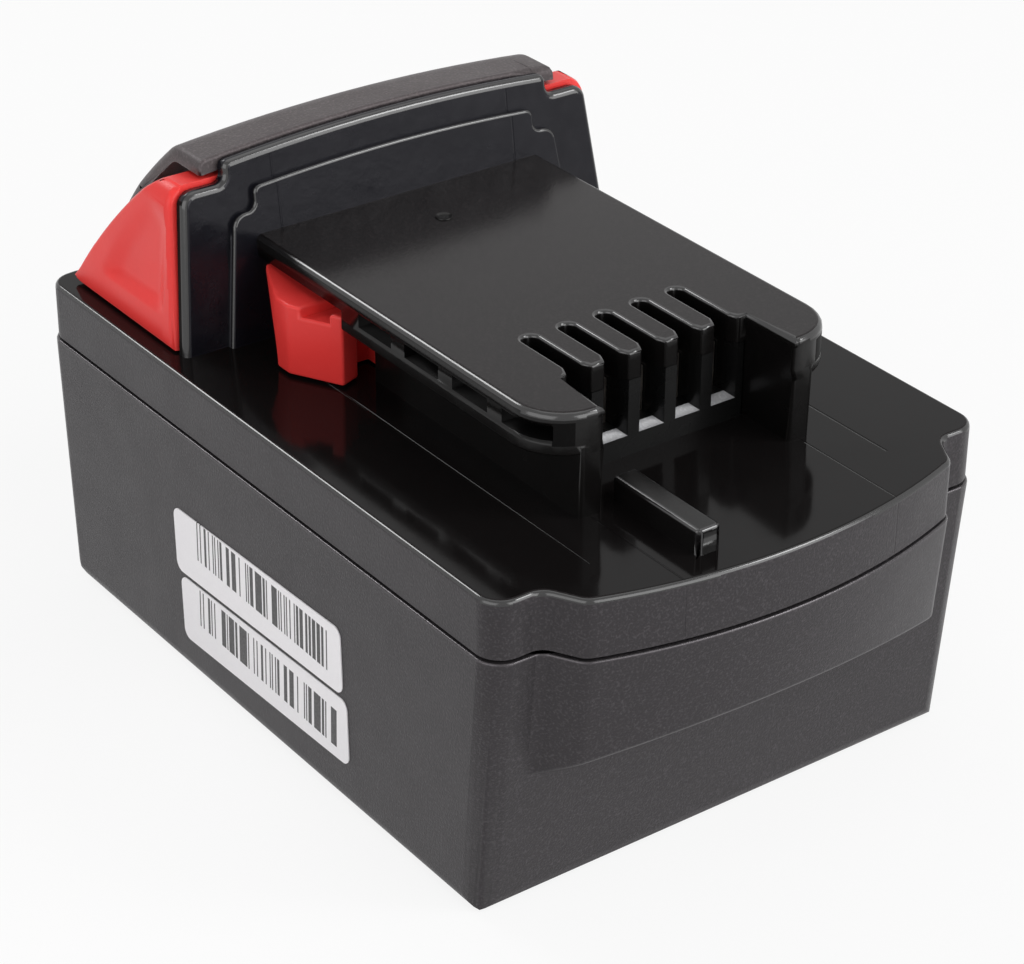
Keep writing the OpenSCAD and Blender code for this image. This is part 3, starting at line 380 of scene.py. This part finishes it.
wallPlastic = mouldedPlastic("wallPlastic", wallLook)
skirtPlastic = mouldedPlastic("skirtPlastic", skirtLook)
lipPlastic = mouldedPlastic("lipPlastic", lipLook)
rimPlastic = mouldedPlastic("rimPlastic", rimLook)
deckPlastic = mouldedPlastic("deckPlastic", deckLook)
deckSidePlastic = mouldedPlastic("deckSidePlastic", deckSideLook)
towerPlastic = mouldedPlastic("towerPlastic", towerLook)
railPlastic = mouldedPlastic("railPlastic", railLook)
shadePaintedPlastic = mouldedPlastic("shadePaintedPlastic", shadePaintedLook)
humpPlastic = mouldedPlastic("humpPlastic", humpLook)
coverPlastic = mouldedPlastic("coverPlastic", coverLook)
latchPlastic = mouldedPlastic("latchPlastic", latchLook)
blockPlastic = mouldedPlastic("blockPlastic", blockLook)
ledgePlastic = mouldedPlastic("ledgePlastic", ledgeLook)


# true on the faces of a rounding, which face neither along an axis nor downwards
def slanted(n):
    return n.z > -0.1 and max(abs(n.x), abs(n.y), n.z) < 0.97


# heights that the shapes are worked at, in mm; foot is the upper case's lower edge once it is let down
level = {"rim": 39.7, "foot": 40, "parting": 40.3, "deck": 48.5, "railUnder": 57.7, "plate": 63.7}


def atLevel(m, name):
    return abs(m.z - level[name]) < 0.06


print("stage: lower case")
lowerCaseShape = {"rim": 0.3, "bulge": 0.5}
lowerCase = copyOfNode("lower_case", "lowerCase")
roundEdges(lowerCase, lowerCaseShape["rim"], lambda m, n, d: atLevel(m, "rim"), 2)
roundEdges(lowerCase, lowerCaseShape["bulge"],
           lambda m, n, d: m.y < -46 and 20 < m.z < 30
           and min(v.y for v in n) < -0.3 and min(v.z for v in n) < -0.3, 3)
smoothed(lowerCase)
paint(lowerCase, wallPlastic,
      (lipPlastic, lambda c, n: 39.2 < c.z < 39.8 and slanted(n)))
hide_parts("lower_case")
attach(lowerCase, "pack")

print("stage: upper case")
upperCaseShape = {
    "deckEdge": 0.7, "foot": 0.15, "plateEdge": 0.9, "slotEdge": 0.5, "tip": 0.3, "railFoot": 0.3, "horn": 0.7,
    "flange": 1.0, "panel": 0.45, "rib": 0.5, "cuts": (62.4, 59.1), "contactHalf": 15.2, "ribMiddle": -10.85,
    "lean": 7.7, "humpFront": 26.7,
}


# distance behind the hump's leaning front face
def behindHumpFront(m):
    a = math.radians(upperCaseShape["lean"])
    return (m.y - upperCaseShape["humpFront"]) * math.cos(a) - (m.z - level["deck"]) * math.sin(a)


def besideContacts(m):
    return abs(m.x) > upperCaseShape["contactHalf"]


# true round the deck's outline, clear of the tower and the hump
def outerDeck(m):
    return not (abs(m.x) < 33 and -31 < m.y < 57)


def onRib(m):
    return 49 < m.z < 53 and m.y < -31 and abs(m.x - upperCaseShape["ribMiddle"]) < 2.5


upperCase = copyOfNode("upper_case", "upperCase")
chooseFaces(upperCase, lambda c, n: n.z < -0.9 and atLevel(c, "parting"))
bpy.ops.transform.translate(value=(0, 0, (level["foot"] - level["parting"]) * mm))
doneEditing()
for height in upperCaseShape["cuts"]:
    cutLevel(upperCase, height)
roundEdges(upperCase, upperCaseShape["deckEdge"],
           lambda m, n, d: atLevel(m, "deck") and outerDeck(m) and max(v.z for v in n) > 0.9, 4)
roundEdges(upperCase, upperCaseShape["foot"], lambda m, n, d: atLevel(m, "foot"), 2)
roundEdges(upperCase, upperCaseShape["plateEdge"],
           lambda m, n, d: m.z > level["plate"] - 0.1 and m.y < 26 and besideContacts(m), 4)
roundEdges(upperCase, upperCaseShape["slotEdge"],
           lambda m, n, d: m.z > level["plate"] - 0.1 and m.y < -17 and not besideContacts(m)
           and max(v.z for v in n) > 0.9, 3)
roundEdges(upperCase, upperCaseShape["tip"],
           lambda m, n, d: 59.5 < m.z < 63.3 and m.y < -27 and not besideContacts(m) and abs(d.z) > 0.9, 2)
roundEdges(upperCase, upperCaseShape["horn"],
           lambda m, n, d: 48.6 < m.z < 62.5 and m.y < -38.5 and abs(d.z) > 0.9, 3)
roundEdges(upperCase, upperCaseShape["railFoot"],
           lambda m, n, d: atLevel(m, "railUnder") and m.y < 6 and abs(m.x) > 19.2, 2)
roundEdges(upperCase, upperCaseShape["rib"], lambda m, n, d: onRib(m), 3)
roundEdges(upperCase, upperCaseShape["flange"],
           lambda m, n, d: m.z > 48.7 and abs(behindHumpFront(m)) < 0.15 and m.y > 24, 4)
roundEdges(upperCase, upperCaseShape["panel"],
           lambda m, n, d: m.z > 48.7 and -2.5 < behindHumpFront(m) < -0.5 and m.y > 24, 3)
smoothed(upperCase)
paint(upperCase, railPlastic,
      (wallPlastic, lambda c, n: c.z < 48.2 and (abs(c.x) > 39 or c.y > 60 or c.y < -48)),
      (skirtPlastic, lambda c, n: 40 < c.z < 48.2 and c.y < -48),
      (deckPlastic, lambda c, n: 48 < c.z < 48.8 and n.z > 0.5),
      (deckSidePlastic, lambda c, n: 48 < c.z < 48.8 and n.z > 0.5 and abs(c.x) > 24.7),
      (towerPlastic, lambda c, n: c.z > 63.2 and n.z > 0.5 and c.y < 27),
      (humpPlastic, lambda c, n: c.z > 48.8 and c.y > 25.4 and -3 < behindHumpFront(c) < 4),
      # painted shade: the flange's side faces and the rail pockets get the darker finish
      (shadePaintedPlastic, lambda c, n: c.z > 48.8 and abs(c.x) > 33.5 and abs(n.x) > 0.9 and c.y > 25),
      (shadePaintedPlastic, lambda c, n: 59.8 < c.z < 62 and 19.9 < abs(c.x) < 24 and c.y < 6.5),
      (rimPlastic, lambda c, n: 47.75 < c.z < level["deck"] and slanted(n) and n.z > 0.1 and outerDeck(c)),
      (rimPlastic, lambda c, n: 62.75 < c.z < level["plate"] and slanted(n) and n.z > 0.1 and c.y < 25),
      (rimPlastic, lambda c, n: onRib(c) and slanted(n)),
      (rimPlastic, lambda c, n: c.z > 48.8 and c.y > 24 and -0.95 < n.y < -0.15
       and -2.7 < behindHumpFront(c) < 1.1))
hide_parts("upper_case")
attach(upperCase, "pack")

print("stage: rear cover")
rearCoverShape = {"front": 0.45, "ends": 1.2, "crown": 600, "inside": 74.05}
rearCover = copyOfNode("rear_cover", "rearCover")
roundEdges(rearCover, rearCoverShape["ends"],
           lambda m, n, d: abs(m.x) > 28 and max(v.y + v.z for v in n) > 0.8, 5)
roundEdges(rearCover, rearCoverShape["front"],
           lambda m, n, d: behindHumpFront(m) < 2.2
           and m.z + m.x * m.x / rearCoverShape["crown"] > rearCoverShape["inside"], 3)
smoothed(rearCover)
paint(rearCover, coverPlastic)
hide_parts("rear_cover")
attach(rearCover, "pack")

print("stage: latches")
latchShape = {
    "button": 0.45, "tail": 2.6, "frontCut": 0.9, "hook": 0.4,
    "foot": 48.85, "outside": 37.3, "lean": 4.4,        # the button's outer face
}
scoopShape = {
    "corners": [(50.2, 52.9), (32.2, 53.2), (31.0, 68.3), (36.6, 69.6), (46.0, 60.2)],     # along and up, in mm
    "fade": (1.3, 3.2, 3.2, 3.2, 3.2),      # width of the slope inside each edge, the lower edge first
    "deep": 1.25, "shallow": 0.4, "corner": 5, "mesh": 0.6, "span": ((31, 52), (52, 70)),
}


def buttonFace(z):
    return latchShape["outside"] - (z - latchShape["foot"]) * math.tan(math.radians(latchShape["lean"]))


def onButtonFace(c):
    return c.y > 28 and abs(abs(c.x) - buttonFace(c.z)) < 0.02


def outerFace(c, n):
    return onButtonFace(c) and abs(n.x) > 0.99


# depth of the thumb scoop at a point of the button's outer face; the soft least distance rounds its corners
def scoopDepth(y, z):
    corners, firm = scoopShape["corners"], scoopShape["corner"]
    total = 0
    for k, fade in enumerate(scoopShape["fade"]):
        (y0, z0), (y1, z1) = corners[k], corners[(k + 1) % len(corners)]
        inside = ((z1 - z0) * (y - y0) - (y1 - y0) * (z - z0)) / math.hypot(y1 - y0, z1 - z0)
        total += math.exp(-firm * inside / fade)
    t = min(max(-math.log(total) / firm, 0), 1)
    share = (z - corners[0][1]) / (corners[3][1] - corners[0][1])
    return (scoopShape["deep"] + (scoopShape["shallow"] - scoopShape["deep"]) * share) * t * t * (3 - 2 * t)


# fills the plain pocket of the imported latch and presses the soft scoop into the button's outer face
def softScoop(piece):
    chooseFaces(piece, lambda c, n: 35.5 < abs(c.x) < 37.2 and 52.8 < c.z < 69 and 31 < c.y < 52
                and (abs(n.x) < 0.9 or abs(n.z) < 0.02))
    bpy.ops.mesh.delete(type="FACE")
    bpy.ops.mesh.select_mode(type="EDGE")
    bpy.ops.mesh.select_non_manifold()
    bpy.ops.mesh.edge_face_add()
    chooseFaces(piece, outerFace)
    bpy.ops.mesh.dissolve_faces()
    for axis, (low, high) in zip((1, 2), scoopShape["span"]):
        for k in range(int((high - low) / scoopShape["mesh"]) + 1):
            spot, facing = [0, 0, 0], [0, 0, 0]
            spot[axis], facing[axis] = (low + k * scoopShape["mesh"]) * mm, 1
            chooseFaces(piece, outerFace)
            bpy.ops.mesh.bisect(plane_co=spot, plane_no=facing)
    mesh = bmesh.from_edit_mesh(piece.data)
    for vert in mesh.verts:
        if onButtonFace(vert.co / mm):
            depth = scoopDepth(vert.co.y / mm, vert.co.z / mm)
            vert.co.x -= math.copysign(depth * mm, vert.co.x)
    bmesh.update_edit_mesh(piece.data)
    doneEditing()


for side in ("left", "right"):
    latch = copyOfNode(side + "_latch", side + "Latch")
    roundEdges(latch, latchShape["tail"],
               lambda m, n, d: abs(m.x) > 23 and m.y > 57 and m.z < 49 and abs(d.x) > 0.9, 6)
    roundEdges(latch, latchShape["frontCut"],
               lambda m, n, d: abs(m.x) > 34 and 1.9 < behindHumpFront(m) < 2.4 and abs(d.z) > 0.3, 2)
    roundEdges(latch, latchShape["button"],
               lambda m, n, d: abs(m.x) > 31 and m.y > 34 and m.z < 72 and max(abs(v.x) for v in n) > 0.05
               and not (52.8 < m.z < 69 and m.y < 52 and onButtonFace(m) and scoopDepth(m.y, m.z) > 0), 3)
    roundEdges(latch, latchShape["hook"], lambda m, n, d: abs(m.x) > 19 and m.y < 27, 2)
    softScoop(latch)
    smoothed(latch)
    paint(latch, latchPlastic)
    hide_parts(side + "_latch")
    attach(latch, side + "_latch")

print("stage: terminal block")
terminalBlock = copyOfNode("terminal_block", "terminalBlock")
smoothed(terminalBlock, 20)
paint(terminalBlock, blockPlastic,
      (ledgePlastic, lambda c, n: n.z > 0.5 and -30.5 < c.y < -28 and 51 < c.z < 52.3))
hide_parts("terminal_block")
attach(terminalBlock, "pack")

print("stage: gate mark")
gateMark = {
    "spot": (0.3, 17.5), "radius": 1.25, "sides": 40, "rise": 0.22, "sunk": 0.1,
    "rim": 0.38, "slope": 0.228, "dip": 0.175, "edge": 0.12,
}
nothingSelected()
x, y = gateMark["spot"]
tall = gateMark["rise"] + gateMark["sunk"]
middle = level["plate"] - gateMark["sunk"] + tall / 2
bpy.ops.mesh.primitive_cylinder_add(vertices=gateMark["sides"], radius=gateMark["radius"] * mm, depth=tall * mm,
                                    location=(x * mm, y * mm, middle * mm))
gateRing = bpy.context.object
gateRing.name = "gateRing"
bpy.ops.object.transform_apply(location=True, rotation=True, scale=True)
chooseFaces(gateRing, lambda c, n: n.z > 0.9)
bpy.ops.mesh.inset(thickness=gateMark["rim"] * mm, depth=0)
bpy.ops.transform.translate(value=(0, 0, -gateMark["dip"] * mm))
bpy.ops.mesh.inset(thickness=gateMark["slope"] * mm, depth=0)
doneEditing()
roundEdges(gateRing, gateMark["edge"], lambda m, n, d: m.z > level["plate"], 2)
smoothed(gateRing)
paint(gateRing, railPlastic)
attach(gateRing, "pack")

print("stage: inner parts")


def dress(finish, *nodes):
    for name in nodes:
        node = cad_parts[name]
        if node.material_slots:
            node.material_slots[0].material = finish
        else:
            node.data.materials.append(finish)


contactLook = {"colour": (0.2, 0.18, 0.16), "tarnish": (0.09, 0.08, 0.075), "rough": (0.3, 0.5)}
nickelLook = {"colour": (0.62, 0.6, 0.55), "tarnish": (0.45, 0.42, 0.37), "rough": (0.22, 0.4), "grain": 0.5}
steelLook = {"colour": (0.42, 0.42, 0.43), "tarnish": (0.26, 0.25, 0.24), "rough": (0.25, 0.45), "grain": 0.25}
springLook = {"colour": (0.5, 0.5, 0.5), "tarnish": (0.36, 0.35, 0.33), "rough": (0.2, 0.35), "grain": 0.2}
holderLook = {"colour": (0.02, 0.02, 0.022), "rough": (0.4, 0.5), "grain": 0.5, "height": 0.03}
chipLook = {"colour": (0.012, 0.012, 0.013), "rough": (0.45, 0.6), "grain": 0.25, "height": 0.02}
sheetLook = {
    "colour": (0.36, 0.38, 0.33), "rough": (0.6, 0.75), "grain": 0.8, "height": 0.03, "speck": 0.2, "cloud": 9,
}
boardLook = {
    "mask": (0.012, 0.085, 0.035), "track": (0.03, 0.16, 0.07), "rough": (0.2, 0.34),
    "pitch": 1.7, "rows": 4, "gap": 0.03, "height": 0.03,       # a brick texture has four rows to its unit
}
cellLook = {
    "wrap": (0.02, 0.12, 0.3), "scuff": (0.06, 0.2, 0.4), "metal": (0.6, 0.58, 0.54), "rough": (0.25, 0.4),
    "wrapEnd": 31.8, "height": 0.02,
}

contactMetal = brightMetal("contactMetal", contactLook)
stripNickel = brightMetal("stripNickel", nickelLook)
screwSteel = brightMetal("screwSteel", steelLook)
springSteel = brightMetal("springSteel", springLook)
holderPlastic = mouldedPlastic("holderPlastic", holderLook)
chipBody = mouldedPlastic("chipBody", chipLook)
insulatorSheet = mouldedPlastic("insulatorSheet", sheetLook)


# green lacquer over faint tracks that run along the board
def boardLacquer(name, look):
    finish, tree, shader, place = newFinish(name)
    bricks = tree.nodes.new("ShaderNodeTexBrick")
    bricks.inputs["Scale"].default_value = 1 / (look["pitch"] * mm) / look["rows"]
    bricks.inputs["Mortar Size"].default_value = look["gap"]
    tree.links.new(place, bricks.inputs["Vector"])
    tracks = spread(tree, bricks.outputs["Fac"], 0, 1, 0, 1)
    tree.links.new(blendColours(tree, tracks, look["mask"], look["track"]), shader.inputs["Base Color"])
    tree.links.new(spread(tree, noise(tree, place, 3, 3), *look["rough"]), shader.inputs["Roughness"])
    addBump(tree, shader, tracks, look["height"] * mm)
    return finish


# shrunk sleeve with bare metal at both ends of a cell
def cellSleeve(name, look):
    finish, tree, shader, place = newFinish(name)
    split = tree.nodes.new("ShaderNodeSeparateXYZ")
    tree.links.new(place, split.inputs["Vector"])
    bare = sums(tree, "GREATER_THAN", sums(tree, "ABSOLUTE", split.outputs["X"], 0), look["wrapEnd"] * mm)
    scuffs = spread(tree, noise(tree, place, 3, 5), 0, 1, 0.5, 0.8)
    sleeve = blendColours(tree, scuffs, look["wrap"], look["scuff"])
    tree.links.new(blendColours(tree, bare, sleeve, look["metal"]), shader.inputs["Base Color"])
    tree.links.new(bare, shader.inputs["Metallic"])
    tree.links.new(spread(tree, noise(tree, place, 2, 3), *look["rough"]), shader.inputs["Roughness"])
    addBump(tree, shader, noise(tree, place, 6, 3), look["height"] * mm)
    return finish


def numbered(name, count):
    return ["%s_%d" % (name, k) for k in range(1, count + 1)]


dress(contactMetal, *numbered("contact_clip", 5))
dress(stripNickel, "negative_strip", "positive_strip", "current_shunt", *numbered("link_strip", 4))
dress(screwSteel, "case_screws", "cover_screws", "board_screws")
dress(springSteel, "left_latch_spring", "right_latch_spring")
dress(holderPlastic, "left_cell_holder", "right_cell_holder")
dress(chipBody, "power_transistors", "control_chip", "thermistor")
dress(insulatorSheet, "left_insulator", "right_insulator")
dress(boardLacquer("boardLacquer", boardLook), "circuit_board")
dress(cellSleeve("cellSleeve", cellLook), *numbered("cell", 10))

print("stage: labels")
labelLook = {
    "paper": (0.88, 0.86, 0.88), "ink": (0.03, 0.028, 0.03), "rough": (0.4, 0.52), "height": 0.01,
    "module": 0.28, "blank": 0.44,      # width of one bar in mm, and the share of bars left out
}


# plain sticker with a run of bars of no meaning, printed between the given edges (mm in the label's own plane)
def barSticker(name, look, middle, tilt, bars):
    finish, tree, shader, place = newFinish(name)
    turned = tree.nodes.new("ShaderNodeMapping")
    turned.vector_type = "TEXTURE"
    turned.inputs["Location"].default_value = (0, middle[0] * mm, middle[1] * mm)
    turned.inputs["Rotation"].default_value = (math.radians(tilt), 0, 0)
    tree.links.new(place, turned.inputs["Vector"])
    split = tree.nodes.new("ShaderNodeSeparateXYZ")
    tree.links.new(turned.outputs["Vector"], split.inputs["Vector"])
    step = sums(tree, "FLOOR", sums(tree, "DIVIDE", split.outputs["Y"], look["module"] * mm), 0)
    chance = tree.nodes.new("ShaderNodeTexWhiteNoise")
    chance.noise_dimensions = "1D"
    tree.links.new(sums(tree, "ADD", step, bars["seed"]), chance.inputs["W"])
    ink = sums(tree, "GREATER_THAN", chance.outputs["Value"], look["blank"])
    for axis, low, high in (("Y", *bars["along"]), ("Z", *bars["up"])):
        off = sums(tree, "ABSOLUTE", sums(tree, "SUBTRACT", split.outputs[axis], (low + high) / 2 * mm), 0)
        ink = sums(tree, "MULTIPLY", ink, sums(tree, "LESS_THAN", off, (high - low) / 2 * mm))
    fibre = noise(tree, place, 0.5, 3)
    sheet = blendColours(tree, spread(tree, fibre, 0, 0.5), look["paper"], lighter(look["paper"], 0.96))
    worn = spread(tree, noise(tree, place, 0.35, 2), 0.95, 1)
    printed = blendColours(tree, sums(tree, "MULTIPLY", ink, worn), sheet, look["ink"])
    tree.links.new(printed, shader.inputs["Base Color"])
    tree.links.new(spread(tree, fibre, *look["rough"]), shader.inputs["Roughness"])
    addBump(tree, shader, fibre, look["height"] * mm)
    return finish


dress(barSticker("upperSticker", labelLook, (4.3, 22.6), 1.2,
                 {"seed": 11, "along": (-18.3, 16.2), "up": (-2.1, 4.2)}), "upper_label")
dress(barSticker("lowerSticker", labelLook, (3.0, 11.35), 1.9,
                 {"seed": 57, "along": (-18.6, 17.0), "up": (-2.0, 4.0)}), "lower_label")

print("stage: studio")
studioLook = {
    "fill": 0.32, "lampAim": (0, 0, 0.03),
    "floor": 0.86, "floorSize": 6, "floorColour": (0.85, 0.85, 0.85, 1), "floorRough": 0.9,
}


# 1 where the white is seen straight, mirrored or through something clear, and 0 where it lights the part
def seenWhite(tree):
    path = tree.nodes.new("ShaderNodeLightPath")
    either = sums(tree, "MAXIMUM", path.outputs["Is Camera Ray"], path.outputs["Is Glossy Ray"])
    return sums(tree, "MAXIMUM", either, path.outputs["Is Transmission Ray"])


world = bpy.data.worlds.new("studio")
scene.world = world
world.use_nodes = True
sky = world.node_tree
backdrop = sky.nodes["Background"]
backdrop.inputs["Color"].default_value = (1, 1, 1, 1)
sky.links.new(spread(sky, seenWhite(sky), studioLook["fill"], 1, 0, 1), backdrop.inputs["Strength"])
scene.view_settings.view_transform = "Standard"

lamps = {
    "topBox": {"spot": (0.15, 0.15, 0.9), "size": 0.7, "power": 1},
    "leftBox": {"spot": (-0.85, -0.25, 0.28), "size": 0.9, "power": 3.8},
    "frontBox": {"spot": (0.35, -0.9, 0.3), "size": 1, "power": 8},
    "edgeBox": {"spot": (0.54, -0.52, 0.74), "size": 0.28, "power": 2.4},
    "backBox": {"spot": (-0.18, 0.74, 0.73), "size": 0.28, "power": 2},
}
for name, lamp in lamps.items():
    data = bpy.data.lights.new(name, "AREA")
    data.size = lamp["size"]
    data.energy = lamp["power"]
    light = bpy.data.objects.new(name, data)
    light.location = lamp["spot"]
    aim = Vector(studioLook["lampAim"]) - Vector(lamp["spot"])
    light.rotation_euler = aim.to_track_quat("-Z", "Y").to_euler()
    scene.collection.objects.link(light)

nothingSelected()
bpy.ops.mesh.primitive_plane_add(size=studioLook["floorSize"], location=(0, 0, 0))
floor = bpy.context.object
floor.name = "floor"
paper = bpy.data.materials.new("paleFloor")
paper.use_nodes = True
paperTree = paper.node_tree
diffuse = paperTree.nodes["Principled BSDF"]
diffuse.inputs["Base Color"].default_value = studioLook["floorColour"]
diffuse.inputs["Roughness"].default_value = studioLook["floorRough"]
diffuse.inputs["Specular IOR Level"].default_value = 0
glow = paperTree.nodes.new("ShaderNodeEmission")
mixed = paperTree.nodes.new("ShaderNodeMixShader")
paperTree.links.new(spread(paperTree, seenWhite(paperTree), 0, studioLook["floor"], 0, 1), mixed.inputs[0])
paperTree.links.new(diffuse.outputs["BSDF"], mixed.inputs[1])
paperTree.links.new(glow.outputs["Emission"], mixed.inputs[2])
paperTree.links.new(mixed.outputs["Shader"], paperTree.nodes["Material Output"].inputs["Surface"])
floor.data.materials.append(paper)
